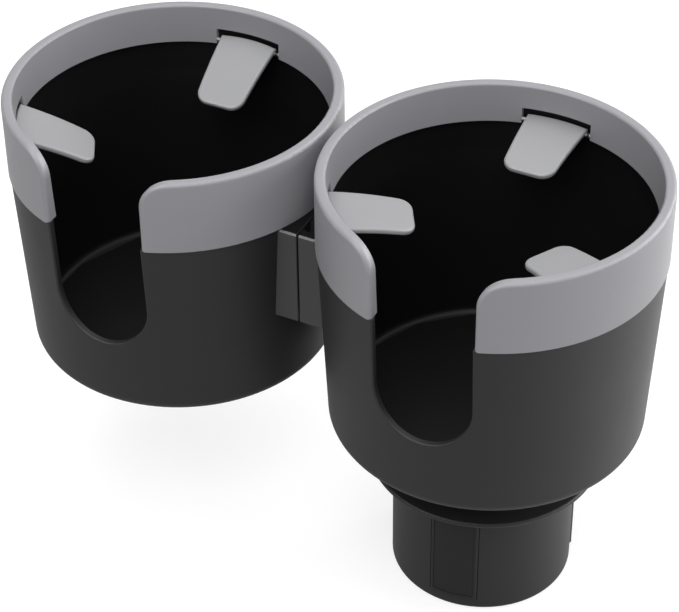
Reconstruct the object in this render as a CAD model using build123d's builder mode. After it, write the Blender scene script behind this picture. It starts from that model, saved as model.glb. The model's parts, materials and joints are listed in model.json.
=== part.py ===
from build123d import *
import math
import os

# Cup holder expander: a main cup on a base that grips inside a car's cup holder, and a
# second cup beside it on a lift-off bracket. Turning the main cup on its base turns a
# spiral cam, which pushes three shoes outwards. Millimetres, +Z up. The origin is the
# centre of the base's foot, on the main cup's axis. The side cup stands towards -X, and
# both cups have their handle slot towards -Y.

os.makedirs("parts", exist_ok=True)

# Fits
RUNNING = 0.05        # radial clearance of a pin or shaft that turns in its hole
SEAT = 0.1            # gap beside a face that is pushed or screwed home
SLIDING = 0.15        # gap each side of a piece that slides

# Cups
RIM_TOP = 152.0       # rim above the foot of the base
RIM_GAP = 2.4         # between the rims of the two cups
CUP_TAPER = 3.1       # smaller radius at the underside, before the corner is rounded
CUP_WALL = 2.4
CUP_FLOOR = 2.6
CUP_CORNER = 4.6      # rounding between wall and underside
BAND_PROUD = 0.4      # how far the grey band stands out from the black wall
SLOT_W = 32.0         # handle slot
SLOT_SILL = 26.0      # underside of the cup to the bottom of the slot
SLOT_EDGE = 0.6       # rounding along the slot

# Rim rings
BAND_R = 54.0
BAND_H = 24.9
BAND_T = 1.4
NECK_T = 1.0          # the cup's thin upper wall, inside the ring's channel
SKIRT_T = 1.7         # at its lower edge
SKIRT_DRAFT = 0.8     # larger inner radius at the rim than at the skirt's lower edge
SKIRT_DROP = 13.4     # rim to the skirt's lower edge
ROOF_T = 3.4          # lip above the channel
LIP_OUT = 1.3
LIP_IN = 0.9
RING_SET_BACK = 0.4   # ring's opening behind each side of the handle slot
RING_CORNER = 9.0     # rounding where the rim turns down into the slot
POST_T = 2.0          # closed end of the ring beside the slot

# Spring tabs
TABS = {"back": 90.0, "left": 210.0, "right": 330.0}
TAB_SIDE_GAP = 1.45   # between the root and each side of its notch, for the spring
NOTCH_RISE = 4.1      # top of the notch above the hinge axis
HINGE_INSET = 0.75    # hinge axis inside the skirt's face
HINGE_RISE = 1.3      # hinge axis above the skirt's lower edge
TAB_ROOT_W = 20.4
TAB_TIP_W = 16.6
TAB_REACH = 24.9      # hinge axis to tip
TAB_BACK = 2.2        # hinge axis to the root's outer edge
TAB_T = 2.0
TAB_RISE = 0.6        # middle of the leaf above the hinge axis
TAB_BARREL_R = 1.3    # round root along the hinge axis
TAB_ARCH = 0.7        # rise of the leaf between root and tip
TAB_CORNER = 4.6
TAB_EDGE = 0.8
TRUNNION_R = 0.6
TRUNNION_SEAT = 1.0   # trunnion's length inside the ring
MAIN_DROOP = 7.5      # tab angle below level
SIDE_DROOP = 26.5
SPRING_WIRE_R = 0.18
SPRING_COIL_R = 0.95
SPRING_TURNS = 2
SPRING_PITCH = 0.4
SPRING_LEG = 1.2

# Bracket between the cups
BRACKET_W = 45.6
BRACKET_H = 33.4
BRACKET_GAP = 0.5     # parting line between the halves
BRACKET_EDGE = 0.55   # bevel along the top, front and back
PARTING_EDGE = 0.2    # bevel round the mating faces
RAIL_INSET = 6.3      # rail's middle to the bracket's side
RAIL_ROOT_W = 4.0
RAIL_TIP_W = 6.2
RAIL_DEPTH = 2.0
RAIL_TOP_DROP = 5.0   # bracket's top to the rail's top
RAIL_FOOT_RISE = 2.4  # bracket's foot to the rail's foot
BRACKET_SCREW_INSET = 7.5    # screws to the rail's middle
BRACKET_SCREW_DROP = 10.0    # bracket's top to the upper screws
BRACKET_SCREW_RISE = 9.4     # bracket's foot to the lower screws
BRACKET_SCREW_R = 1.0
BRACKET_SCREW_LENGTH = 4.6
BRACKET_HEAD_R = 2.2
BRACKET_HEAD_H = 1.3
BRACKET_HEAD_SUNK = 0.3

# Base
SLOT_SIDE = 270.0     # azimuth of the handle slots
BASE_TURN = 5.5       # the first shoe stands this many degrees round from them
BASE_R = 29.7
BASE_WALL = 2.2
FOOT_RING = 4.3       # closed ring under the windows
FOOT_EDGE = 1.5
COLLAR_OVERHANG = 7.9
COLLAR_T = 1.8
COLLAR_TOP = 45.0
COLLAR_EDGE = 0.8
HUB_WALL = 3.0
HUB_H = 3.0           # bearing hub below the collar
BOSS_R = 3.2
BOSS_INSET = 2.7      # boss centre inside the tube's inner face
BOSS_H = 7.0
FLOOR_SCREW_R = 1.0
FLOOR_SCREW_LENGTH = 7.5
FLOOR_HEAD_R = 2.0
FLOOR_HEAD_H = 1.2
FLOOR_HEAD_SUNK = 0.3

# Gripping shoes
SHOE_COUNT = 3
SHOE_W = 15.9
SHOE_GAP = 0.2        # round the shoe in its window
SHOE_PROUD = 0.5
SHOE_T = 3.0
SHOE_EDGE = 0.5
PAD_BORDER = 1.25     # shoe left beside the pad
PAD_T = 1.0
PAD_SUNK = 0.1        # below the shoe's borders
PAD_MARGIN = 1.3      # shoe left above and below the pad
ARM_W = 9.0
ARM_H = 7.0
ARM_INNER_R = 9.5
UPPER_ARM_H = 5.6
UPPER_ARM_INNER_R = 13.0
GUIDE_T = 1.6         # ribs beside the arms
GUIDE_H = 5.0
GUIDE_INNER_R = 11.5
UPPER_GUIDE_INNER_R = 14.0
GUIDE_END_GAP = 1.5   # ribs' outer ends inside the tube's inner face
FOLLOWER_R = 1.5
FOLLOWER_AT = 13.0    # radius of the follower at rest
FOLLOWER_ABOVE = 0.5  # follower above the cam

# Swivel neck and cam
CAM_LEAD = 24.0       # radius that the cam's slots gain in a full turn
NECK_H = 15.7         # collar to the main cup's underside
NECK_TOP_R = 21.5
NECK_TAPER = 1.0      # smaller radius at the collar
NECK_WALL = 2.0
NECK_GAP = 0.3        # under the cup and over the collar
SHAFT_R = 9.0
SHAFT_WALL = 2.6
SHAFT_SOLID_H = 13.05    # solid end of the shaft above the cam
SHAFT_FLANGE_T = 3.0
CUP_BOSS_COUNT = 3
CUP_BOSS_R = 3.2
CUP_BOSS_H = 5.0
NECK_SCREW_R = 1.25
NECK_SCREW_LENGTH = 9.0
NECK_HEAD_R = 2.6
NECK_HEAD_H = 1.6
CAM_GAP = 3.5         # between the cam's rim and the tube's inner face
CAM_RIM = 1.4         # left outside the ends of the cam's slots
CAM_T = 4.0
CAM_KEY = 9.0         # across the flats of the shaft's square end
CAM_SLOT_POINTS = 9
CLIP_W = 2.5          # clip outside the shaft
CLIP_T = 1.2
CLIP_GROOVE = 1.0
CLIP_MOUTH_W = 10.0
CAM_WASHER_R = 7.5
CAM_WASHER_T = 1.0
CAM_SCREW_R = 2.0
CAM_SCREW_LENGTH = 13.0
CAM_HEAD_R = 3.8
CAM_HEAD_H = 2.2

# Levels, radii and widths that follow from the sizes above
CUP_AXES = 2 * BAND_R + RIM_GAP    # between the two cup axes
MAIN_X = 0.0
SIDE_X = -CUP_AXES
PARTING_X = -CUP_AXES / 2
CUP_FOOT = COLLAR_TOP + NECK_H
CUP_FLOOR_TOP = CUP_FOOT + CUP_FLOOR
LEDGE = RIM_TOP - BAND_H
CHANNEL_TOP = RIM_TOP - ROOF_T
SKIRT_FOOT = RIM_TOP - SKIRT_DROP
SLOT_FOOT = CUP_FOOT + SLOT_SILL
RING_GAP_W = SLOT_W + 2 * RING_SET_BACK
CUP_TOP_R = BAND_R - BAND_PROUD
CUP_FOOT_R = CUP_TOP_R - CUP_TAPER
NECK_OUT_R = BAND_R - BAND_T - SEAT
NECK_IN_R = NECK_OUT_R - NECK_T
SKIRT_OUT_R = NECK_IN_R - SEAT
SKIRT_IN_R = SKIRT_OUT_R - SKIRT_T
HINGE_R = SKIRT_IN_R - HINGE_INSET
HINGE_Z = SKIRT_FOOT + HINGE_RISE
NOTCH_TOP = HINGE_Z + NOTCH_RISE
NOTCH_W = TAB_ROOT_W + 2 * TAB_SIDE_GAP
TRUNNION_LENGTH = NOTCH_W + 2 * TRUNNION_SEAT
BRACKET_TOP = LEDGE - SEAT
BRACKET_FOOT = BRACKET_TOP - BRACKET_H
BRACKET_REACH = CUP_AXES / 2 - math.sqrt(CUP_FOOT_R**2 - (BRACKET_W / 2) ** 2)
BRACKET_SCREW_LEVELS = (BRACKET_TOP - BRACKET_SCREW_DROP, BRACKET_FOOT + BRACKET_SCREW_RISE)
RAIL_Y = BRACKET_W / 2 - RAIL_INSET
BRACKET_SCREW_Y = RAIL_Y - BRACKET_SCREW_INSET
RAIL_FOOT = BRACKET_FOOT + RAIL_FOOT_RISE
RAIL_H = BRACKET_TOP - RAIL_TOP_DROP - RAIL_FOOT
COLLAR_R = BASE_R + COLLAR_OVERHANG
COLLAR_FOOT = COLLAR_TOP - COLLAR_T
HUB_R = SHAFT_R + HUB_WALL
HUB_FOOT = COLLAR_FOOT - HUB_H
BASE_IN_R = BASE_R - BASE_WALL
BOSS_AT_R = BASE_IN_R - BOSS_INSET
GUIDE_OUTER_R = BASE_IN_R - GUIDE_END_GAP
WINDOW_W = SHOE_W + 2 * SHOE_GAP
WINDOW_INNER_R = math.sqrt(BASE_IN_R**2 - (WINDOW_W / 2) ** 2) - SEAT
PAD_W = SHOE_W - 2 * PAD_BORDER
SHOE_R = BASE_R + SHOE_PROUD
SHOE_BACK_R = SHOE_R - SHOE_T
SHOE_FOOT = FOOT_RING + SHOE_GAP
SHOE_TOP = COLLAR_FOOT - SHOE_GAP
ARM_FOOT = FOOT_RING + SLIDING
ARM_TOP = ARM_FOOT + ARM_H
CAM_FOOT = ARM_TOP + 2 * SLIDING
CAM_TOP = CAM_FOOT + CAM_T
CAM_R = BASE_IN_R - CAM_GAP
SHOE_TRAVEL = CAM_R - CAM_RIM - SEAT - FOLLOWER_R - FOLLOWER_AT
TWIST = 360.0 * SHOE_TRAVEL / CAM_LEAD    # turn of the cups that drives the shoes right out
NECK_FOOT_R = NECK_TOP_R - NECK_TAPER
NECK_TOP = CUP_FOOT - NECK_GAP
NECK_FOOT = COLLAR_TOP + NECK_GAP
SHAFT_TOP = CUP_FOOT - CUP_BOSS_H
SHAFT_SHOULDER = SHAFT_TOP - SHAFT_FLANGE_T
SHAFT_CORE_R = SHAFT_R - SHAFT_WALL
SHAFT_CORE_FOOT = CAM_TOP + SHAFT_SOLID_H
CUP_BOSS_AT_R = (SHAFT_R + NECK_TOP_R - NECK_TAPER / 2 - NECK_WALL) / 2
CLIP_R = SHAFT_R + CLIP_W
CLIP_TOP = HUB_FOOT - SLIDING
WASHER_FOOT = CAM_FOOT - CAM_WASHER_T
FLOOR_HEAD_SEAT = FLOOR_HEAD_SUNK + FLOOR_HEAD_H
SHOE_ANGLES = [SLOT_SIDE + BASE_TURN + 360.0 / SHOE_COUNT * step for step in range(SHOE_COUNT)]
BOSS_ANGLES = [angle + 180.0 / SHOE_COUNT for angle in SHOE_ANGLES]
CUP_BOSS_ANGLES = [360.0 / CUP_BOSS_COUNT * step for step in range(CUP_BOSS_COUNT)]
CLEAR = 3 * BAND_R    # far enough for a cut to pass right out of the part


def wall_radius(z):
    """Outer radius of a cup's tapered wall at a height."""
    rise = (z - CUP_FOOT) / (LEDGE - CUP_FOOT)
    return CUP_FOOT_R + (CUP_TOP_R - CUP_FOOT_R) * rise


def skirt_radius(z):
    """Inner radius of a rim ring's drafted skirt at a height."""
    return SKIRT_IN_R + SKIRT_DRAFT * (z - SKIRT_FOOT) / SKIRT_DROP


def neck_radius(z):
    """Outer radius of the swivel neck at a height."""
    rise = (z - NECK_FOOT) / (NECK_TOP - NECK_FOOT)
    return NECK_FOOT_R + (NECK_TOP_R - NECK_FOOT_R) * rise


def section_plane(centre_x):
    """Upright plane through a cup's axis, facing the handle slot."""
    return Plane(origin=(centre_x, 0, 0), x_dir=(1, 0, 0), z_dir=(0, -1, 0))


def cup_axis(centre_x):
    return Axis((centre_x, 0, 0), (0, 0, 1))


def outward(azimuth):
    turn = math.radians(azimuth)
    return Vector(math.cos(turn), math.sin(turn), 0)


def turned_plane(azimuth, z):
    """Level plane about the main axis, its X pointing along an azimuth."""
    return Plane(origin=(0, 0, z), x_dir=outward(azimuth), z_dir=(0, 0, 1))


def facing_plane(centre_x, azimuth, radius):
    """Upright plane at a radius from a cup's axis, facing outwards, its Y the height."""
    out = outward(azimuth)
    origin = Vector(centre_x, 0, 0) + out * radius
    return Plane(origin=origin, x_dir=(-out.Y, out.X, 0), z_dir=out)


def leaf_plane(centre_x, azimuth, droop):
    """Plane of a tab: origin on its hinge, X along the hinge, Y outwards, Z up."""
    out = outward(azimuth)
    fall = math.radians(droop)
    origin = Vector(centre_x, 0, HINGE_Z) + out * HINGE_R
    normal = Vector(0, 0, math.cos(fall)) - out * math.sin(fall)
    return Plane(origin=origin, x_dir=(out.Y, -out.X, 0), z_dir=normal)


def hinge_plane(centre_x, azimuth, droop=0.0):
    """Plane across a tab's hinge: X outwards, Y up, Z along the hinge."""
    leaf = leaf_plane(centre_x, azimuth, droop)
    return Plane(origin=leaf.origin, x_dir=leaf.y_dir, z_dir=leaf.x_dir)


def screw(head_seat, shank_r, length, head_r, head_h):
    """Socket-head screw whose head stands on the plane, with its shank behind it."""
    with BuildPart() as fastener:
        with BuildSketch(head_seat):
            Circle(head_r)
        extrude(amount=head_h)
        with BuildSketch(head_seat):
            Circle(shank_r)
        extrude(amount=head_h - length)
        with BuildSketch(head_seat.offset(head_h)):
            RegularPolygon(shank_r, 6)
        extrude(amount=-head_h / 2, mode=Mode.SUBTRACT)
    return fastener.part


def ring_opening(half_width, corner):
    """Opening over the handle slot: upright sides that turn outwards into the rim."""
    wide = half_width + corner
    with BuildSketch() as opening:
        with BuildLine():
            Line((-half_width, LEDGE), (half_width, LEDGE))
            Line((half_width, LEDGE), (half_width, RIM_TOP - corner))
            RadiusArc((half_width, RIM_TOP - corner), (wide, RIM_TOP), corner)
            Polyline((wide, RIM_TOP), (wide, RIM_TOP + corner), (-wide, RIM_TOP + corner), (-wide, RIM_TOP))
            RadiusArc((-wide, RIM_TOP), (-half_width, RIM_TOP - corner), corner)
            Line((-half_width, RIM_TOP - corner), (-half_width, LEDGE))
        make_face()
    return opening.sketch


def bracket_screw_planes(toward):
    """Planes of the screw heads' seats, facing out of a bracket half's mating face."""
    depth = BRACKET_GAP / 2 + BRACKET_HEAD_SUNK + BRACKET_HEAD_H
    seat_x = PARTING_X + toward * depth
    return [
        Plane(origin=(seat_x, y, level), x_dir=(0, 1, 0), z_dir=(-toward, 0, 0))
        for y in (-BRACKET_SCREW_Y, BRACKET_SCREW_Y)
        for level in BRACKET_SCREW_LEVELS
    ]


def cup_shell(centre_x, toward):
    """Cup: a tapered bucket whose thin upper wall stands inside the ring's channel."""
    with BuildPart() as shell:
        with BuildSketch(section_plane(centre_x)):
            with BuildLine():
                Polyline(
                    (0, CUP_FOOT),
                    (CUP_FOOT_R, CUP_FOOT),
                    (CUP_TOP_R, LEDGE),
                    (NECK_OUT_R, LEDGE),
                    (NECK_OUT_R, CHANNEL_TOP),
                    (NECK_IN_R, CHANNEL_TOP),
                    (NECK_IN_R, LEDGE + NECK_T),
                    (CUP_TOP_R - CUP_WALL, LEDGE),
                    (CUP_FOOT_R - CUP_WALL, CUP_FLOOR_TOP),
                    (0, CUP_FLOOR_TOP),
                    close=True,
                )
            make_face()
        revolve(axis=cup_axis(centre_x))
        corners = shell.edges().filter_by(GeomType.CIRCLE)
        fillet(corners.sort_by(Axis.Z)[0], CUP_CORNER)
        corners = shell.edges().filter_by(GeomType.CIRCLE)
        fillet(corners.filter_by_position(Axis.Z, CUP_FLOOR_TOP, CUP_FLOOR_TOP), CUP_CORNER - CUP_WALL)
        # The thin wall stops short of the ring's closed ends
        clear = POST_T + SEAT
        with BuildSketch(section_plane(centre_x)):
            add(ring_opening(RING_GAP_W / 2 + clear, RING_CORNER - clear))
        extrude(amount=CLEAR, mode=Mode.SUBTRACT)
        with BuildSketch(section_plane(centre_x)):
            with Locations((0, SLOT_FOOT + SLOT_W / 2)):
                Circle(SLOT_W / 2)
                Rectangle(SLOT_W, RIM_TOP, align=(Align.CENTER, Align.MIN))
        extrude(amount=CLEAR, mode=Mode.SUBTRACT)
        slot_edges = shell.edges(Select.LAST)
        fillet(slot_edges.filter_by(lambda edge: edge.center().Z < LEDGE - SLOT_EDGE), SLOT_EDGE)
        for plane in bracket_screw_planes(toward):
            with BuildSketch(plane):
                Circle(BRACKET_SCREW_R)
            extrude(amount=BRACKET_HEAD_H - BRACKET_SCREW_LENGTH, mode=Mode.SUBTRACT)
    return shell


def on_cylinder(edge, centre_x, radius):
    """True for an edge that lies on an upright cylinder about a cup's axis."""
    points = [edge @ 0, edge @ 0.5, edge @ 1]
    return all(abs(math.hypot(p.X - centre_x, p.Y) - radius) < SEAT / 10 for p in points)


def on_skirt(edge, centre_x):
    """True for an edge that lies on the drafted inner face of a rim ring."""
    points = [edge @ 0, edge @ 0.5, edge @ 1]
    return all(abs(math.hypot(p.X - centre_x, p.Y) - skirt_radius(p.Z)) < SEAT / 10 for p in points)


def rim_ring(centre_x):
    """Rim ring: band, rounded lip and inner skirt, closed beside the handle slot."""
    plane = section_plane(centre_x)
    with BuildPart() as channel:
        with BuildSketch(plane):
            with Locations((NECK_OUT_R + SEAT, LEDGE)):
                groove = NECK_OUT_R + SEAT - SKIRT_OUT_R
                Rectangle(groove, CHANNEL_TOP - LEDGE, align=(Align.MAX, Align.MIN))
                below_skirt = NECK_OUT_R + SEAT - skirt_radius(LEDGE) + SEAT
                Rectangle(below_skirt, SKIRT_FOOT - LEDGE, align=(Align.MAX, Align.MIN))
        revolve(axis=cup_axis(centre_x))
        with BuildSketch(plane):
            add(ring_opening(RING_GAP_W / 2 + POST_T, RING_CORNER - POST_T))
        extrude(amount=CLEAR, mode=Mode.SUBTRACT)
    with BuildPart() as ring:
        with BuildSketch(plane):
            with BuildLine():
                Polyline(
                    (skirt_radius(LEDGE + SEAT), LEDGE + SEAT),
                    (BAND_R, LEDGE + SEAT),
                    (BAND_R, RIM_TOP),
                    (skirt_radius(RIM_TOP), RIM_TOP),
                    close=True,
                )
            make_face()
        revolve(axis=cup_axis(centre_x))
        with BuildSketch(plane):
            add(ring_opening(RING_GAP_W / 2, RING_CORNER))
        extrude(amount=CLEAR, mode=Mode.SUBTRACT)
        above = ring.edges().filter_by(lambda edge: edge.center().Z > LEDGE + 2 * SEAT)
        fillet(above.filter_by(lambda edge: on_cylinder(edge, centre_x, BAND_R)), LIP_OUT)
        above = ring.edges().filter_by(lambda edge: edge.center().Z > LEDGE + 2 * SEAT)
        fillet(above.filter_by(lambda edge: on_skirt(edge, centre_x)), LIP_IN)
        add(channel.part, mode=Mode.SUBTRACT)
        for azimuth in TABS.values():
            # The notch for a tab, and the blind holes for its trunnions
            with BuildSketch(Plane(origin=(centre_x, 0, SKIRT_FOOT - SEAT), x_dir=outward(azimuth))):
                with Locations((SKIRT_OUT_R, 0)):
                    Rectangle(4 * SKIRT_T, NOTCH_W)
                Circle(SKIRT_OUT_R + SEAT / 2, mode=Mode.INTERSECT)
            extrude(amount=NOTCH_TOP - SKIRT_FOOT + SEAT, mode=Mode.SUBTRACT)
            with BuildSketch(hinge_plane(centre_x, azimuth)):
                Circle(TRUNNION_R + RUNNING)
            extrude(amount=TRUNNION_LENGTH / 2 + SEAT, both=True, mode=Mode.SUBTRACT)
    return ring


def spring_tab(centre_x, azimuth, droop):
    """Spring tab: an arched leaf above a round root, with a trunnion on each side."""
    middle = (TAB_BACK - TAB_REACH) / 2
    top = TAB_RISE + TAB_T / 2
    foot = TAB_RISE - TAB_T / 2
    root = HINGE_R + TAB_BACK
    corner_y = math.sqrt(root**2 - (TAB_ROOT_W / 2) ** 2) - HINGE_R
    with BuildPart() as leaf:
        with BuildSketch(hinge_plane(centre_x, azimuth, droop)):
            with BuildLine():
                ThreePointArc((TAB_BACK, top), (middle, top + TAB_ARCH), (-TAB_REACH, top))
                Line((-TAB_REACH, top), (-TAB_REACH, foot))
                ThreePointArc((-TAB_REACH, foot), (middle, foot + TAB_ARCH), (TAB_BACK, foot))
                Line((TAB_BACK, foot), (TAB_BACK, top))
            make_face()
        extrude(amount=TAB_ROOT_W / 2, both=True)
        with BuildSketch(leaf_plane(centre_x, azimuth, droop)):
            with BuildLine():
                ThreePointArc((-TAB_ROOT_W / 2, corner_y), (0, TAB_BACK), (TAB_ROOT_W / 2, corner_y))
                Polyline(
                    (TAB_ROOT_W / 2, corner_y),
                    (TAB_TIP_W / 2, -TAB_REACH),
                    (-TAB_TIP_W / 2, -TAB_REACH),
                    (-TAB_ROOT_W / 2, corner_y),
                )
            outline = make_face()
            fillet(outline.vertices().group_by(Axis.Y)[0], TAB_CORNER)
        extrude(amount=2 * TAB_T, both=True, mode=Mode.INTERSECT)
        fillet(leaf.edges().filter_by(lambda edge: edge.length > 1.1 * TAB_T), TAB_EDGE)
        with BuildSketch(hinge_plane(centre_x, azimuth, droop)):
            Circle(TAB_BARREL_R)
        extrude(amount=TAB_ROOT_W / 2 - TAB_EDGE, both=True)
        with BuildSketch(hinge_plane(centre_x, azimuth, droop)):
            Circle(TRUNNION_R)
        extrude(amount=TRUNNION_LENGTH / 2, both=True)
    return leaf


def tab_spring(centre_x, azimuth, droop):
    """Torsion spring on a trunnion, in the gap between the tab and the notch's side."""
    hinge = hinge_plane(centre_x, azimuth, droop)
    gap_middle = (TAB_ROOT_W + NOTCH_W) / 4
    coil_foot = gap_middle - SPRING_PITCH * SPRING_TURNS / 2
    seat = hinge.offset(coil_foot)
    coil = seat.location * Helix(SPRING_PITCH, SPRING_PITCH * SPRING_TURNS, SPRING_COIL_R)
    with BuildPart() as spring:
        with BuildSketch(Plane(origin=coil @ 0, z_dir=coil % 0)):
            Circle(SPRING_WIRE_R)
        sweep(path=coil)
        for end, away in ((0, -1), (1, 1)):
            with BuildSketch(Plane(origin=coil @ end, z_dir=(coil % end) * away)):
                Circle(SPRING_WIRE_R)
            extrude(amount=SPRING_LEG)
    return spring


def bracket_half(centre_x, toward):
    """Half of the block between the cups, hollowed to sit on its cup's tapered wall."""
    face_x = PARTING_X + toward * BRACKET_GAP / 2
    inner = Align.MIN if toward > 0 else Align.MAX
    below = BRACKET_FOOT - CUP_WALL
    with BuildPart() as cup_space:
        with BuildSketch(section_plane(centre_x)):
            with BuildLine():
                Polyline(
                    (0, below),
                    (wall_radius(below) + SEAT, below),
                    (wall_radius(LEDGE) + SEAT, LEDGE),
                    (0, LEDGE),
                    close=True,
                )
            make_face()
        revolve(axis=cup_axis(centre_x))
    with BuildPart() as half:
        with BuildSketch(Plane.XY.offset(BRACKET_FOOT)):
            with Locations((face_x, 0)):
                Rectangle(BRACKET_REACH, BRACKET_W, align=(inner, Align.CENTER))
        extrude(amount=BRACKET_H)
        chamfer(half.edges().filter_by(Axis.X).group_by(Axis.Z)[-1], BRACKET_EDGE)
        mating = half.faces().sort_by(Axis.X)[0 if toward > 0 else -1]
        chamfer(mating.edges(), PARTING_EDGE)
        add(cup_space.part, mode=Mode.SUBTRACT)
        for plane in bracket_screw_planes(toward):
            with BuildSketch(plane):
                Circle(BRACKET_HEAD_R + SEAT)
            extrude(amount=BRACKET_HEAD_H + BRACKET_HEAD_SUNK, mode=Mode.SUBTRACT)
            with BuildSketch(plane):
                Circle(BRACKET_SCREW_R)
            extrude(amount=-BRACKET_REACH, mode=Mode.SUBTRACT)
    return half


def rail_outline(side, clearance):
    """Dovetail rail in plan, from the side bracket's face into the main bracket."""
    face_x = PARTING_X - BRACKET_GAP / 2
    tip_x = PARTING_X + BRACKET_GAP / 2 + RAIL_DEPTH + clearance
    root = RAIL_ROOT_W / 2 + clearance
    tip = RAIL_TIP_W / 2 + clearance
    with BuildSketch() as outline:
        with BuildLine():
            Polyline(
                (face_x, side * RAIL_Y - root),
                (tip_x, side * RAIL_Y - tip),
                (tip_x, side * RAIL_Y + tip),
                (face_x, side * RAIL_Y + root),
                close=True,
            )
        make_face()
    return outline.sketch


def base_shoe(azimuth):
    """Gripping shoe: a curved plate with two arms, the lower one carrying the follower."""
    pad_pocket_r = SHOE_R - PAD_SUNK - PAD_T - SEAT
    with BuildPart() as piece:
        with BuildSketch(turned_plane(azimuth, SHOE_FOOT)):
            Circle(SHOE_R)
            Circle(SHOE_BACK_R, mode=Mode.SUBTRACT)
            with Locations((SHOE_R, 0)):
                Rectangle(4 * SHOE_T, SHOE_W, mode=Mode.INTERSECT)
        extrude(amount=SHOE_TOP - SHOE_FOOT)
        upright = piece.edges().filter_by(Axis.Z)
        chamfer(upright.filter_by(lambda edge: on_cylinder(edge, MAIN_X, SHOE_R)), SHOE_EDGE)
        with BuildSketch(turned_plane(azimuth, SHOE_FOOT + PAD_MARGIN)):
            Circle(SHOE_R + SHOE_T)
            Circle(pad_pocket_r, mode=Mode.SUBTRACT)
            with Locations((SHOE_R, 0)):
                Rectangle(4 * SHOE_T, PAD_W + 2 * SEAT, mode=Mode.INTERSECT)
        extrude(amount=SHOE_TOP - SHOE_FOOT - 2 * PAD_MARGIN, mode=Mode.SUBTRACT)
        for foot, height, inner_r in (
            (ARM_FOOT, ARM_H, ARM_INNER_R),
            (SHOE_TOP - UPPER_ARM_H, UPPER_ARM_H, UPPER_ARM_INNER_R),
        ):
            with BuildSketch(turned_plane(azimuth, foot)):
                with Locations((inner_r, 0)):
                    into_plate = SHOE_T / 3
                    reach = SHOE_BACK_R + into_plate - inner_r
                    Rectangle(reach, ARM_W, align=(Align.MIN, Align.CENTER))
            extrude(amount=height)
        with BuildSketch(turned_plane(azimuth, ARM_TOP)):
            with Locations((FOLLOWER_AT, 0)):
                Circle(FOLLOWER_R)
        extrude(amount=CAM_TOP + FOLLOWER_ABOVE - ARM_TOP)
    return piece


def grip_pad(azimuth):
    """Rubber face of a shoe, lying in its pocket."""
    with BuildPart() as piece:
        with BuildSketch(turned_plane(azimuth, SHOE_FOOT + PAD_MARGIN + SEAT)):
            Circle(SHOE_R - PAD_SUNK)
            Circle(SHOE_R - PAD_SUNK - PAD_T, mode=Mode.SUBTRACT)
            with Locations((SHOE_R, 0)):
                Rectangle(4 * SHOE_T, PAD_W, mode=Mode.INTERSECT)
        extrude(amount=SHOE_TOP - SHOE_FOOT - 2 * PAD_MARGIN - 2 * SEAT)
    return piece


def guide_ribs(z, height, inner_r):
    """Ribs on both sides of each shoe's arm."""
    with BuildPart() as ribs:
        for azimuth in SHOE_ANGLES:
            with BuildSketch(turned_plane(azimuth, z)):
                with Locations((inner_r, ARM_W / 2 + SLIDING)):
                    Rectangle(GUIDE_OUTER_R - inner_r, GUIDE_T, align=(Align.MIN, Align.MIN))
                with Locations((inner_r, -ARM_W / 2 - SLIDING)):
                    Rectangle(GUIDE_OUTER_R - inner_r, GUIDE_T, align=(Align.MIN, Align.MAX))
            extrude(amount=height)
    return ribs.part


def save(piece, name):
    piece.part.label = name
    export_step(piece.part, "parts/" + name + ".step")


# The main cup has screw bosses underneath, which hold the swivel neck
with BuildPart() as main_cup:
    add(cup_shell(MAIN_X, 1).part)
    for azimuth in CUP_BOSS_ANGLES:
        with BuildSketch(turned_plane(azimuth, SHAFT_TOP)):
            with Locations((CUP_BOSS_AT_R, 0)):
                Circle(CUP_BOSS_R)
        extrude(amount=CUP_BOSS_H)
        with BuildSketch(turned_plane(azimuth, SHAFT_TOP)):
            with Locations((CUP_BOSS_AT_R, 0)):
                Circle(NECK_SCREW_R)
        extrude(amount=NECK_SCREW_LENGTH - NECK_HEAD_H - SHAFT_FLANGE_T, mode=Mode.SUBTRACT)
save(main_cup, "main_cup")

side_cup = cup_shell(SIDE_X, -1)
save(side_cup, "side_cup")

# Rims, tabs, springs and bracket screws, which both cups have alike
for cup, centre_x, toward, droop in (("main", MAIN_X, 1, MAIN_DROOP), ("side", SIDE_X, -1, SIDE_DROOP)):
    save(rim_ring(centre_x), cup + "_rim_ring")
    for place, azimuth in TABS.items():
        save(spring_tab(centre_x, azimuth, droop), cup + "_tab_" + place)
        save(tab_spring(centre_x, azimuth, droop), cup + "_tab_spring_" + place)
    with BuildPart() as bracket_screws:
        for plane in bracket_screw_planes(toward):
            add(screw(plane, BRACKET_SCREW_R, BRACKET_SCREW_LENGTH, BRACKET_HEAD_R, BRACKET_HEAD_H))
    save(bracket_screws, cup + "_bracket_screws")

# The main half of the block has two channels, closed at the foot and open at the top
with BuildPart() as main_bracket:
    add(bracket_half(MAIN_X, 1).part)
    for side in (-1, 1):
        with BuildSketch(Plane.XY.offset(RAIL_FOOT)):
            add(rail_outline(side, SLIDING))
        extrude(amount=BRACKET_H, mode=Mode.SUBTRACT)
save(main_bracket, "main_bracket")

# The side half carries the dovetail rails that drop into them
with BuildPart() as side_bracket:
    add(bracket_half(SIDE_X, -1).part)
    for side in (-1, 1):
        with BuildSketch(Plane.XY.offset(RAIL_FOOT)):
            add(rail_outline(side, 0.0))
        extrude(amount=RAIL_H)
save(side_bracket, "side_bracket")

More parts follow.
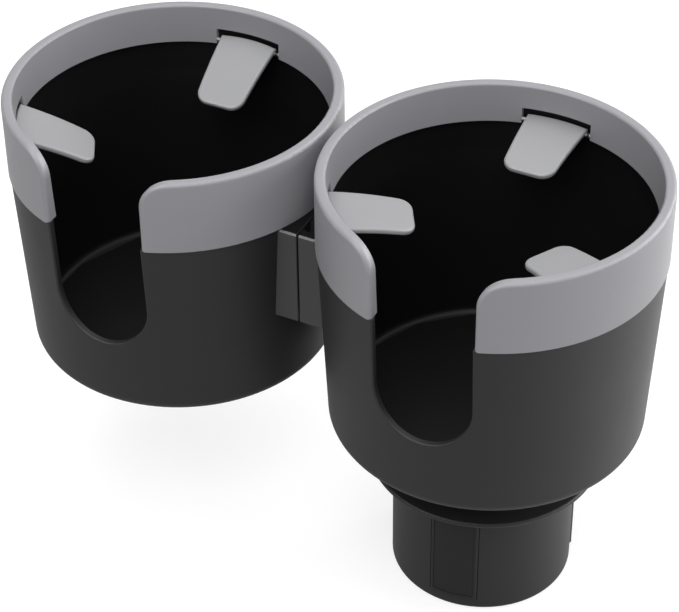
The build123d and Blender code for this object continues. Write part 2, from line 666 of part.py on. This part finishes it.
# Base housing: tube, collar and bearing hub in one moulding, with a window for each shoe
with BuildPart() as base_housing:
    with BuildSketch(section_plane(MAIN_X)):
        with BuildLine():
            Polyline(
                (BASE_IN_R, 0),
                (BASE_R, 0),
                (BASE_R, COLLAR_FOOT),
                (COLLAR_R, COLLAR_FOOT),
                (COLLAR_R, COLLAR_TOP),
                (SHAFT_R + RUNNING, COLLAR_TOP),
                (SHAFT_R + RUNNING, HUB_FOOT),
                (HUB_R, HUB_FOOT),
                (HUB_R, COLLAR_FOOT),
                (BASE_IN_R, COLLAR_FOOT),
                close=True,
            )
        make_face()
    revolve(axis=cup_axis(MAIN_X))
    rims = base_housing.edges().filter_by(lambda edge: on_cylinder(edge, MAIN_X, COLLAR_R))
    fillet(rims.filter_by(GeomType.CIRCLE), COLLAR_EDGE)
    foot = base_housing.edges().filter_by_position(Axis.Z, 0, 0)
    fillet(foot.sort_by(SortBy.RADIUS)[-1], FOOT_EDGE)
    for azimuth in BOSS_ANGLES:
        with BuildSketch(turned_plane(azimuth, FOOT_RING)):
            with Locations((BOSS_AT_R, 0)):
                Circle(BOSS_R)
        extrude(amount=BOSS_H)
        with BuildSketch(turned_plane(azimuth, FOOT_RING)):
            with Locations((BOSS_AT_R, 0)):
                Circle(FLOOR_SCREW_R)
        extrude(amount=BOSS_H - FLOOR_HEAD_H, mode=Mode.SUBTRACT)
    add(guide_ribs(COLLAR_FOOT - GUIDE_H, GUIDE_H, UPPER_GUIDE_INNER_R))
    for azimuth in SHOE_ANGLES:
        with BuildSketch(facing_plane(MAIN_X, azimuth, WINDOW_INNER_R)):
            with Locations((0, FOOT_RING)):
                Rectangle(WINDOW_W, COLLAR_FOOT - FOOT_RING, align=(Align.CENTER, Align.MIN))
        extrude(amount=COLLAR_R - WINDOW_INNER_R, mode=Mode.SUBTRACT)
save(base_housing, "base_housing")

# Base floor: a disc with the lower guide ribs, screwed up into the housing's bosses
with BuildPart() as base_floor:
    with BuildSketch():
        Circle(BASE_IN_R - SEAT)
    extrude(amount=FOOT_RING)
    add(guide_ribs(FOOT_RING, GUIDE_H, GUIDE_INNER_R))
    for azimuth in BOSS_ANGLES:
        with BuildSketch(turned_plane(azimuth, 0)):
            with Locations((BOSS_AT_R, 0)):
                Circle(FLOOR_HEAD_R + SEAT)
        extrude(amount=FLOOR_HEAD_SEAT, mode=Mode.SUBTRACT)
        with BuildSketch(turned_plane(azimuth, 0)):
            with Locations((BOSS_AT_R, 0)):
                Circle(FLOOR_SCREW_R)
        extrude(amount=FOOT_RING, mode=Mode.SUBTRACT)
save(base_floor, "base_floor")

with BuildPart() as base_floor_screws:
    for azimuth in BOSS_ANGLES:
        out = outward(azimuth) * BOSS_AT_R
        seat = Plane(origin=(out.X, out.Y, FLOOR_HEAD_SEAT), z_dir=(0, 0, -1))
        add(screw(seat, FLOOR_SCREW_R, FLOOR_SCREW_LENGTH, FLOOR_HEAD_R, FLOOR_HEAD_H))
save(base_floor_screws, "base_floor_screws")

# Gripping shoes and their rubber faces
for number, azimuth in enumerate(SHOE_ANGLES, start=1):
    save(base_shoe(azimuth), "shoe_" + str(number))
    save(grip_pad(azimuth), "grip_pad_" + str(number))

# Swivel neck: cover, flange and cored shaft in one moulding, with a square end for the cam
with BuildPart() as swivel_neck:
    with BuildSketch(section_plane(MAIN_X)):
        with BuildLine():
            Polyline(
                (0, CAM_TOP),
                (SHAFT_R, CAM_TOP),
                (SHAFT_R, SHAFT_SHOULDER),
                (neck_radius(SHAFT_SHOULDER) - NECK_WALL, SHAFT_SHOULDER),
                (neck_radius(NECK_FOOT) - NECK_WALL, NECK_FOOT),
                (neck_radius(NECK_FOOT), NECK_FOOT),
                (neck_radius(NECK_TOP), NECK_TOP),
                (neck_radius(NECK_TOP) - NECK_WALL, NECK_TOP),
                (neck_radius(SHAFT_TOP) - NECK_WALL, SHAFT_TOP),
                (0, SHAFT_TOP),
                close=True,
            )
        make_face()
    revolve(axis=cup_axis(MAIN_X))
    with BuildSketch(Plane.XY.offset(CAM_FOOT)):
        Rectangle(CAM_KEY, CAM_KEY)
    extrude(amount=CAM_T)
    with BuildSketch(Plane.XY.offset(SHAFT_CORE_FOOT)):
        Circle(SHAFT_CORE_R)
    extrude(amount=SHAFT_TOP - SHAFT_CORE_FOOT, mode=Mode.SUBTRACT)
    with BuildSketch(Plane.XY.offset(CLIP_TOP - CLIP_T)):
        Circle(SHAFT_R + CLIP_GROOVE)
        Circle(SHAFT_R - CLIP_GROOVE, mode=Mode.SUBTRACT)
    extrude(amount=CLIP_T, mode=Mode.SUBTRACT)
    with BuildSketch(Plane.XY.offset(CAM_FOOT)):
        Circle(CAM_SCREW_R)
    extrude(amount=CAM_SCREW_LENGTH - CAM_HEAD_H - CAM_WASHER_T, mode=Mode.SUBTRACT)
    for azimuth in CUP_BOSS_ANGLES:
        with BuildSketch(turned_plane(azimuth, SHAFT_SHOULDER)):
            with Locations((CUP_BOSS_AT_R, 0)):
                Circle(NECK_SCREW_R)
        extrude(amount=SHAFT_FLANGE_T, mode=Mode.SUBTRACT)
save(swivel_neck, "swivel_neck")

with BuildPart() as neck_screws:
    for azimuth in CUP_BOSS_ANGLES:
        out = outward(azimuth) * CUP_BOSS_AT_R
        seat = Plane(origin=(out.X, out.Y, SHAFT_SHOULDER), z_dir=(0, 0, -1))
        add(screw(seat, NECK_SCREW_R, NECK_SCREW_LENGTH, NECK_HEAD_R, NECK_HEAD_H))
save(neck_screws, "neck_screws")

# Retaining clip: an open ring in the shaft's groove, under the bearing hub
with BuildPart() as retaining_clip:
    with BuildSketch(Plane.XY.offset(CLIP_TOP - CLIP_T)):
        Circle(CLIP_R)
        Circle(SHAFT_R - CLIP_GROOVE, mode=Mode.SUBTRACT)
        with Locations((CLIP_R, 0)):
            Rectangle(2 * CLIP_R, CLIP_MOUTH_W, mode=Mode.SUBTRACT)
    extrude(amount=CLIP_T)
save(retaining_clip, "retaining_clip")

# Cam disc: one spiral slot for each shoe, its radius growing evenly over the twist
with BuildPart() as cam_disc:
    with BuildSketch(Plane.XY.offset(CAM_FOOT)):
        Circle(CAM_R)
        Rectangle(CAM_KEY + SEAT, CAM_KEY + SEAT, mode=Mode.SUBTRACT)
    extrude(amount=CAM_T)
    for azimuth in SHOE_ANGLES:
        spiral = []
        for step in range(CAM_SLOT_POINTS):
            share = step / (CAM_SLOT_POINTS - 1)
            spiral.append(outward(azimuth - TWIST * share) * (FOLLOWER_AT + SHOE_TRAVEL * share))
        with BuildSketch(Plane.XY.offset(CAM_FOOT)):
            with BuildLine():
                Spline(*spiral)
            trace(line_width=2 * (FOLLOWER_R + SEAT))
            with Locations(spiral[0], spiral[-1]):
                Circle(FOLLOWER_R + SEAT)
        extrude(amount=CAM_T, mode=Mode.SUBTRACT)
save(cam_disc, "cam_disc")

with BuildPart() as cam_washer:
    with BuildSketch(Plane.XY.offset(WASHER_FOOT)):
        Circle(CAM_WASHER_R)
        Circle(CAM_SCREW_R + SEAT, mode=Mode.SUBTRACT)
    extrude(amount=CAM_WASHER_T)
save(cam_washer, "cam_washer")

with BuildPart() as cam_screw:
    seat = Plane(origin=(0, 0, WASHER_FOOT), z_dir=(0, 0, -1))
    add(screw(seat, CAM_SCREW_R, CAM_SCREW_LENGTH, CAM_HEAD_R, CAM_HEAD_H))
save(cam_screw, "cam_screw")
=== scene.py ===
import json
import math

import bmesh
import bpy
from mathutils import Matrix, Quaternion, Vector


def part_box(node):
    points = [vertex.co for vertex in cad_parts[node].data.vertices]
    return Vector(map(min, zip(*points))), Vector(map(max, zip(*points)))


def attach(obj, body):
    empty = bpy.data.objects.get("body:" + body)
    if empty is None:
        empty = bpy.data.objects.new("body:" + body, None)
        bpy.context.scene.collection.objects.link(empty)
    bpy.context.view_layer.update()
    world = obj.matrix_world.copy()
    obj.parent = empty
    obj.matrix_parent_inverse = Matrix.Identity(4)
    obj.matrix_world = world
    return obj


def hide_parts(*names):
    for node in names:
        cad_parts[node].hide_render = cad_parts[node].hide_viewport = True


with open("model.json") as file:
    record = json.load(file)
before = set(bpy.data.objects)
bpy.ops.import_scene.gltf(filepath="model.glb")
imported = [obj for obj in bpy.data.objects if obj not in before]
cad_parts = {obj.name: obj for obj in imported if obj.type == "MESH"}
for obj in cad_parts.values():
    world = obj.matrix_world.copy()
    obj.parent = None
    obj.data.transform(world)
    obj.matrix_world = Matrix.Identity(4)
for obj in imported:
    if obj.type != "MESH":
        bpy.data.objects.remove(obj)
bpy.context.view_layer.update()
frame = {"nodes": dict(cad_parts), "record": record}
scene = bpy.context.scene


# Base floor and screws
# The flat black disc that closes the foot from below, with three small zinc-plated
# screws sunk in it. It is moulded in the same ABS as the housing round it.
class Socket:
    """A shader socket that can be used in sums: each operator adds its Math node."""

    def __init__(self, nodes, link):
        self.nodes = nodes
        self.link = link

    def _math(self, operation, a, b):
        return self.nodes.add("ShaderNodeMath", {"operation": operation}, {0: a, 1: b})

    def __add__(self, other):
        return self._math("ADD", self, other)

    def __radd__(self, other):
        return self._math("ADD", other, self)

    def __mul__(self, other):
        return self._math("MULTIPLY", self, other)

    def __rmul__(self, other):
        return self._math("MULTIPLY", other, self)


class Nodes:
    """The node tree of a material or of the world, which is its owner."""

    def __init__(self, owner):
        self.owner = owner
        self.owner.use_nodes = True
        self.tree = self.owner.node_tree

    def add(self, kind, settings=None, inputs=None, output=0):
        """Adds a node, sets its settings first, then the values or links of its sockets."""
        node = self.tree.nodes.new(kind)
        for key, value in (settings or {}).items():
            setattr(node, key, value)
        for key, value in (inputs or {}).items():
            self.feed(node.inputs[key], value)
        return Socket(self, node.outputs[output])

    def feed(self, socket, value):
        if isinstance(value, Socket):
            self.tree.links.new(value.link, socket)
        else:
            socket.default_value = value

    def finish(self, shader="Principled BSDF", **inputs):
        """Feeds the shader's sockets by their names, such as Base_Color for Base Color."""
        for key, value in inputs.items():
            self.feed(self.tree.nodes[shader].inputs[key.replace("_", " ")], value)
        return self.owner

    def place(self):
        return self.add("ShaderNodeTexCoord", output="Object")

    def noise(self, scale, detail, roughness=0.5):
        inputs = {"Vector": self.place(), "Scale": scale, "Detail": detail, "Roughness": roughness}
        return self.add("ShaderNodeTexNoise", None, inputs, output="Fac")

    def bump(self, height, strength, distance):
        inputs = {"Height": height, "Strength": strength, "Distance": distance}
        return self.add("ShaderNodeBump", None, inputs, output="Normal")

    def blend(self, factor, a, b):
        """Mixes two colours, which are inputs 6 and 7 of a Mix node and give its output 2."""
        settings = {"data_type": "RGBA"}
        return self.add("ShaderNodeMix", settings, {0: factor, 6: (*a, 1.0), 7: (*b, 1.0)}, output=2)

    def dot(self, a, b):
        return self.add("ShaderNodeVectorMath", {"operation": "DOT_PRODUCT"}, {0: a, 1: b}, "Value")

    def length(self, vector):
        return self.add("ShaderNodeVectorMath", {"operation": "LENGTH"}, {0: vector}, "Value")

    def spread(self, value, start, end, low, high):
        """Takes a value's span from start to end over into low to high, and no further."""
        inputs = {"Value": value, "From Min": start, "From Max": end, "To Min": low, "To Max": high}
        return self.add("ShaderNodeMapRange", None, inputs)


def new_finish(name):
    return Nodes(bpy.data.materials.new(name))


def between(low, high, share):
    """Goes from low to high as the share goes from 0 to 1."""
    return low + (high - low) * share


def moulded_plastic(name, colour, worn, roughness, gloss=0.5, grain_depth=0.00002):
    """Spark-eroded moulded plastic: fine grain, and slow changes of sheen and colour."""
    sheen_change = 0.04
    grain_haze = 0.05
    nodes = new_finish(name)
    patches = nodes.noise(scale=38.0, detail=3.0, roughness=0.6)
    grain = nodes.noise(scale=2600.0, detail=2.0, roughness=0.7)
    sheen = between(roughness - sheen_change, roughness + sheen_change, patches)
    return nodes.finish(
        Base_Color=nodes.blend(patches, colour, worn),
        Roughness=sheen + grain_haze * grain,
        Specular_IOR_Level=gloss,
        Normal=nodes.bump(grain, strength=0.35, distance=grain_depth),
    )


def zinc_plate(name):
    """Bright zinc plate, a little uneven."""
    bluish = (0.55, 0.55, 0.57)
    pale = (0.68, 0.68, 0.66)
    nodes = new_finish(name)
    cloud = nodes.noise(scale=900.0, detail=3.0)
    return nodes.finish(
        Base_Color=nodes.blend(cloud, bluish, pale),
        Metallic=1.0,
        Roughness=between(0.28, 0.42, cloud),
    )


record = frame["record"]
node_body = {node: body for body, nodes in record["behaviour"]["bodies"].items() for node in nodes}

merge_reach = 0.000001
sharp_bend = math.radians(32.0)
flat_bend = math.radians(0.5)


def is_curved(face):
    """True where a face goes over into a neighbour by a slight bend, as round surfaces do."""
    bends = [edge.calc_face_angle(0.0) for edge in face.edges]
    return any(flat_bend < bend < sharp_bend for bend in bends)


def smooth_copy(name, material):
    """Copy of a CAD node with its loose triangles joined and its round faces smooth."""
    mesh = frame["nodes"][name].data.copy()
    form = bmesh.new()
    form.from_mesh(mesh)
    bmesh.ops.remove_doubles(form, verts=form.verts, dist=merge_reach)
    for face in form.faces:
        face.smooth = is_curved(face)
        face.material_index = 0
    for edge in form.edges:
        edge.smooth = edge.calc_face_angle(0.0) < sharp_bend
    form.to_mesh(mesh)
    form.free()
    if "custom_normal" in mesh.attributes:
        mesh.attributes.remove(mesh.attributes["custom_normal"])
    mesh.name = name + "_skin"
    mesh.materials.clear()
    mesh.materials.append(material)
    piece = bpy.data.objects.new(name + "_skin", mesh)
    scene.collection.objects.link(piece)
    even = piece.modifiers.new("even_shading", "WEIGHTED_NORMAL")
    even.keep_sharp = True
    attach(piece, node_body[name])
    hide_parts(name)
    return piece


black_abs = moulded_plastic(
    "black_abs",
    colour=(0.0094, 0.0093, 0.0103),
    worn=(0.0118, 0.0117, 0.0127),
    roughness=0.54,
    gloss=0.34,
)
zinc = zinc_plate("zinc_plate")
smooth_copy("base_floor", black_abs)
smooth_copy("base_floor_screws", zinc)


# Base housing
# The tube that goes down into a car's cup well, its thin collar and its three windows, in
# one black moulding. It is open below until the floor is screwed in.
smooth_copy("base_housing", black_abs)


# Gripping shoes
# Three black nylon shoes, a little smoother than the housing, each with a soft rubber face
# that lies in a shallow pocket. The rubber is duller and slightly mottled from the mould.
nylon = moulded_plastic(
    "shoe_nylon",
    colour=(0.0085, 0.0085, 0.009),
    worn=(0.011, 0.011, 0.0113),
    roughness=0.5,
    gloss=0.25,
)


def soft_rubber(name):
    black = (0.0085, 0.0085, 0.009)
    bloomed = (0.0125, 0.0125, 0.0125)
    nodes = new_finish(name)
    bloom = nodes.noise(scale=90.0, detail=4.0, roughness=0.6)
    skin = nodes.noise(scale=3400.0, detail=2.0, roughness=0.6)
    return nodes.finish(
        Base_Color=nodes.blend(bloom, black, bloomed),
        Roughness=between(0.52, 0.62, bloom),
        Specular_IOR_Level=0.22,
        Normal=nodes.bump(skin, strength=0.5, distance=0.00003),
    )


grip_rubber = soft_rubber("grip_rubber")
for name in sorted(node_body):
    if name.startswith("shoe_"):
        smooth_copy(name, nylon)
    if name.startswith("grip_pad_"):
        smooth_copy(name, grip_rubber)


# Cam, clip and their screw
# What the twist drives, out of sight inside the housing: a cream acetal cam disc, held to
# the shaft's square end by a screw and washer, and a sprung clip under the hub.
def acetal(name):
    cream = (0.62, 0.60, 0.54)
    pale = (0.70, 0.68, 0.63)
    nodes = new_finish(name)
    flow = nodes.noise(scale=60.0, detail=3.0)
    return nodes.finish(
        Base_Color=nodes.blend(flow, cream, pale),
        Roughness=between(0.32, 0.42, flow),
    )


def spring_steel(name):
    """Blackened spring steel, as drawn and dipped in oil."""
    black = (0.035, 0.035, 0.037)
    rubbed = (0.06, 0.058, 0.056)
    nodes = new_finish(name)
    drawn = nodes.noise(scale=1400.0, detail=2.0)
    return nodes.finish(
        Base_Color=nodes.blend(drawn, black, rubbed),
        Metallic=1.0,
        Roughness=between(0.38, 0.5, drawn),
    )


wire_steel = spring_steel("blackened_spring_steel")
smooth_copy("cam_disc", acetal("natural_acetal"))
smooth_copy("retaining_clip", wire_steel)
smooth_copy("cam_washer", zinc)
smooth_copy("cam_screw", zinc)


# Swivel neck
# The black shaft and cover between the base and the main cup, held to the bosses under
# the cup by three screws from below.
smooth_copy("swivel_neck", black_abs)
smooth_copy("neck_screws", zinc)


# Cups
# Two deep injection-moulded buckets in black ABS, tapered so that they leave the mould, and
# slotted at the front for a mug's handle. The cavity gives the outside its fine grain, and
# the core leaves the inside smoother. The inside is also painted darker, as painted shade.
# Inside material: smoother than the outside, and its darker colour is painted shade, not the
# plastic's own colour.
core_smooth_painted_shade = moulded_plastic(
    "cup_inside_painted_shade",
    colour=(0.0058, 0.0058, 0.006),
    worn=(0.0068, 0.0068, 0.007),
    roughness=0.4,
    gloss=0.14,
    grain_depth=0.000006,
)
cup_floor_r = 0.044
facing_axis = 0.5
facing_up = 0.3


def refinish(skin, finish, chosen):
    """Gives a second material to the faces of a piece that are chosen; here it is smoother and
    painted dark as shade.
    """
    skin.data.materials.append(finish)
    for face in skin.data.polygons:
        if chosen(face):
            face.material_index = 1


def inside_of(cup):
    """Tells a cup's floor and the inner faces of its wall from its other faces."""
    low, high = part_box(cup)
    axis = Vector(((low[0] + high[0]) / 2, (low[1] + high[1]) / 2))

    def is_inside(face):
        outward = face.center.xy - axis
        on_wall = face.normal.xy.dot(outward.normalized()) < -facing_axis
        on_floor = face.normal.z > facing_up and outward.length < cup_floor_r
        return on_wall or on_floor

    return is_inside


for cup in ("main_cup", "side_cup"):
    refinish(smooth_copy(cup, black_abs), core_smooth_painted_shade, inside_of(cup))


# Rim rings
# Grey mouldings that clip over the cups' thin upper walls: an outer band, a rounded lip
# and an inner skirt with three notches for the tabs.
grey_abs = moulded_plastic(
    "grey_abs",
    colour=(0.266, 0.263, 0.281),
    worn=(0.28, 0.277, 0.294),
    roughness=0.45,
    gloss=0.38,
)
for cup in ("main", "side"):
    smooth_copy(cup + "_rim_ring", grey_abs)


# Spring tabs
# Arched grey leaves that fold down when a bottle goes in and press against it. Each turns
# on two trunnions in the ring's notch, and a small steel torsion spring lifts it again.
tab_abs = moulded_plastic(
    "tab_abs",
    colour=(0.268, 0.268, 0.277),
    worn=(0.282, 0.282, 0.29),
    roughness=0.4,
)
for cup in ("main", "side"):
    for place in ("back", "left", "right"):
        smooth_copy(cup + "_tab_" + place, tab_abs)
        smooth_copy(cup + "_tab_spring_" + place, wire_steel)


# Bracket
# The two black halves of the block between the cups. The side half drops into the main one
# on two dovetail rails, and each is screwed to its cup from its mating face. Their black is
# painted lighter than the cups' as painted light, and their flat tops take the cups' smoother
# inside material, painted dark as shade between the rings.
# A lighter copy of the cups' black plastic: the extra lightness is painted light on the bracket's
# faces.
bracket_abs_painted_lighter = moulded_plastic(
    "bracket_abs_painted_lighter",
    colour=(0.018, 0.0179, 0.019),
    worn=(0.021, 0.0209, 0.022),
    roughness=0.46,
    gloss=0.55,
)
level = 0.95


def is_painted_shade_top(face):
    return face.normal.z > level


# The flat tops get the darker inside material as painted shade, where the two rings shade them.
for cup in ("main", "side"):
    refinish(smooth_copy(cup + "_bracket", bracket_abs_painted_lighter), core_smooth_painted_shade, is_painted_shade_top)
    smooth_copy(cup + "_bracket_screws", zinc)


# The room
# A pale floor under the foot, and a white surround that the camera and the gloss see. Soft
# lamps stand overhead, high in front and at the right, with a weak fill at the left. The
# two cards light nothing and are seen only in the gloss.
def ray_kind(nodes, kind):
    """1 for a ray of one kind, such as Glossy, and 0 for any other."""
    return nodes.add("ShaderNodeLightPath", output="Is " + kind + " Ray")


def straight_ray(nodes):
    """1 for a ray from the camera or through something clear, and 0 for any other."""
    return ray_kind(nodes, "Camera") + ray_kind(nodes, "Transmission")


def white_floor(name):
    """Pale matt floor, seen as white but for the object's shadow, and whiter far away."""
    to_right_back = (1.0, 1.0, 0.0)
    dark = (0.0, 0.0, 0.0)
    white = (1.0, 1.0, 1.0)
    nodes = new_finish(name)
    glow = nodes.spread(nodes.length(nodes.place()), start=0.6, end=3.0, low=0.5, high=0.72)
    across = nodes.dot(nodes.place(), to_right_back)
    gloss_glow = nodes.spread(across, start=-0.05, end=0.2, low=0.24, high=0.75)
    seen = glow * straight_ray(nodes) + gloss_glow * ray_kind(nodes, "Glossy")
    return nodes.finish(
        Base_Color=(0.4, 0.4, 0.4, 1.0),
        Roughness=0.9,
        Specular_IOR_Level=0.2,
        Emission_Color=nodes.blend(seen, dark, white),
        Emission_Strength=1.4,
    )


floor_half = 6.0
floor_mesh = bpy.data.meshes.new("floor")
floor_form = bmesh.new()
bmesh.ops.create_grid(floor_form, x_segments=1, y_segments=1, size=floor_half)
floor_form.to_mesh(floor_mesh)
floor_form.free()
floor = bpy.data.objects.new("floor", floor_mesh)
floor_mesh.materials.append(white_floor("white_floor"))
scene.collection.objects.link(floor)

surround = Nodes(bpy.data.worlds.new("studio"))
surround_light = 0.3
bright_side = (0.6, 0.8, 0.0)
direction = surround.add("ShaderNodeTexCoord", output="Generated")
gloss_light = 0.5 + 0.5 * surround.dot(direction, bright_side)
seen = straight_ray(surround) + gloss_light * ray_kind(surround, "Glossy")
scene.world = surround.finish(
    "Background",
    Color=(1.0, 1.0, 1.0, 1.0),
    Strength=between(surround_light, 1.0, seen),
)

middle = Vector((-0.055, 0.0, 0.08))


def soft_lamp(name, place, width, height, power, gloss=True, diffuse=True):
    """Rectangular lamp that is turned to the object's middle."""
    lamp = bpy.data.lights.new(name, "AREA")
    lamp.shape = "RECTANGLE"
    lamp.size = width
    lamp.size_y = height
    lamp.energy = power
    holder = bpy.data.objects.new(name, lamp)
    holder.location = place
    holder.rotation_mode = "QUATERNION"
    holder.rotation_quaternion = (middle - Vector(place)).to_track_quat("-Z", "Y")
    holder.visible_glossy = gloss
    holder.visible_diffuse = diffuse
    scene.collection.objects.link(holder)


soft_lamp("overhead", place=(0.05, 0.15, 1.5), width=1.6, height=1.6, power=16.5)
soft_lamp("front_top", place=(0.25, -1.0, 1.4), width=1.0, height=0.8, power=13.0)
soft_lamp("right_back", place=(0.8, 1.2, 0.6), width=0.5, height=1.4, power=7.0)
soft_lamp("right_side", place=(1.35, 0.45, 0.5), width=0.9, height=1.2, power=8.0)
soft_lamp("right_card", place=(1.1, 0.9, 0.5), width=1.3, height=1.2, power=34.0, diffuse=False)
soft_lamp("left_card", place=(-0.56, -0.85, 1.06), width=0.5, height=0.5, power=14.0, diffuse=False)
soft_lamp("left_fill", place=(-1.2, -0.9, 0.8), width=0.8, height=1.0, power=3.0, gloss=False)


# The camera
# It stands where the photograph was taken from: 0.79 m from the foot, at the front right,
# and looking down by 38 degrees through a long lens.
camera = bpy.data.cameras.new("photo_camera")
camera.sensor_fit = "HORIZONTAL"
camera.sensor_width = 36.0
camera.lens = 123.52
camera.clip_start = 0.05
camera.clip_end = 20.0
tripod = bpy.data.objects.new("photo_camera", camera)
tripod.location = (0.21774, -0.52977, 0.547)
looking = Vector((-0.3587, 0.7033, -0.6137))
camera_roll = math.radians(-0.63)
tripod.rotation_mode = "QUATERNION"
tripod.rotation_quaternion = looking.to_track_quat("-Z", "Y") @ Quaternion((0, 0, 1), camera_roll)
scene.collection.objects.link(tripod)
scene.camera = tripod
scene.view_settings.view_transform = "Standard"
